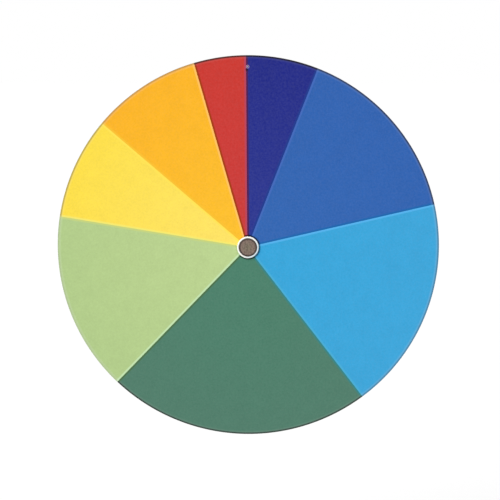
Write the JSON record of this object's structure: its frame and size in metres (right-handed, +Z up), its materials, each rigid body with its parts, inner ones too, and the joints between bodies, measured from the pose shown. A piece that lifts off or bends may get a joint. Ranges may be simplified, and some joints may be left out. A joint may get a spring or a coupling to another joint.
{
  "type": "newton color disc with crank",
  "caption": "Round disc with coloured sectors on a geared spindle, spun fast by a hand crank behind it so the colours blend towards white; its rod is held in a laboratory stand clamp.",
  "frame": {"origin": "on the stand rod's axis, at the back face of the rear plate", "axes": "+Z up, -Y the way the disc faces, +Y back along the stand rod"},
  "size_m": [0.25, 0.2173, 0.2623],
  "materials": {
    "disc_aluminium": "turned, bare",
    "hub_aluminium": "machined",
    "film_red": "satin printed film",
    "film_orange": "satin printed film",
    "film_yellow": "satin printed film",
    "film_light_green": "satin printed film",
    "film_dark_green": "satin printed film",
    "film_light_blue": "satin printed film",
    "film_blue": "satin printed film",
    "film_indigo": "satin printed film",
    "white_nylon": "smooth",
    "natural_nylon": "moulded",
    "spindle_steel": "dull turned face",
    "bright_steel": "ground",
    "zinc_steel": "bright zinc plate",
    "black_steel": "blackened",
    "bronze": "sintered, oiled",
    "plate_enamel": "grey hammered enamel",
    "nickel": "satin nickel plate",
    "beech": "lacquered"
  },
  "bodies": {
    "frame": {"front_plate": "plate_enamel", "rear_plate": "plate_enamel", "pillars": "bright_steel", "pillar_screws_front": "zinc_steel", "pillar_screws_rear": "zinc_steel", "spindle_bush_front": "bronze", "spindle_bush_rear": "bronze", "crank_bush_front": "bronze", "crank_bush_rear": "bronze", "stand_rod": "bright_steel", "rod_washer": "zinc_steel", "rod_nut": "zinc_steel"},
    "disc": {"disc_plate": "disc_aluminium", "sector_red": "film_red", "sector_orange": "film_orange", "sector_yellow": "film_yellow", "sector_light_green": "film_light_green", "sector_dark_green": "film_dark_green", "sector_light_blue": "film_light_blue", "sector_blue": "film_blue", "sector_indigo": "film_indigo", "cup_washer": "white_nylon", "spindle": "spindle_steel", "disc_hub": "hub_aluminium", "disc_screws": "zinc_steel", "hub_grub_screw": "black_steel", "spindle_thrust_washer": "bright_steel", "pinion": "bright_steel", "pinion_grub_screw": "black_steel", "spindle_rear_washer": "bright_steel", "spindle_circlip": "black_steel"},
    "crank": {"drive_gear": "natural_nylon", "gear_hub": "hub_aluminium", "gear_hub_screws": "zinc_steel", "gear_pin": "bright_steel", "axle_thrust_washer": "bright_steel", "crank_axle": "bright_steel", "crank_arm": "nickel", "arm_washer": "zinc_steel", "arm_cap_nut": "nickel", "grip_pin": "bright_steel", "grip_front_washer": "zinc_steel", "grip_end_washer": "zinc_steel"},
    "grip": {"grip": "beech", "grip_ferrule": "nickel"}
  },
  "joints": [
    {"name": "crank_turn", "type": "hinge", "parent": "frame", "child": "crank", "pos_m": [0, 0, -0.11575], "axis": [0, 1, 0], "continuous": true},
    {"name": "disc_spin", "type": "hinge", "parent": "frame", "child": "disc", "pos_m": [0, 0, -0.052], "axis": [0, 1, 0], "continuous": true},
    {"name": "grip_turn", "type": "hinge", "parent": "crank", "child": "grip", "pos_m": [0, 0, -0.17575], "axis": [0, 1, 0], "continuous": true}
  ],
  "couplings": [
    {"joint": "disc_spin", "follows": "crank_turn", "ratio": -5}
  ]
}
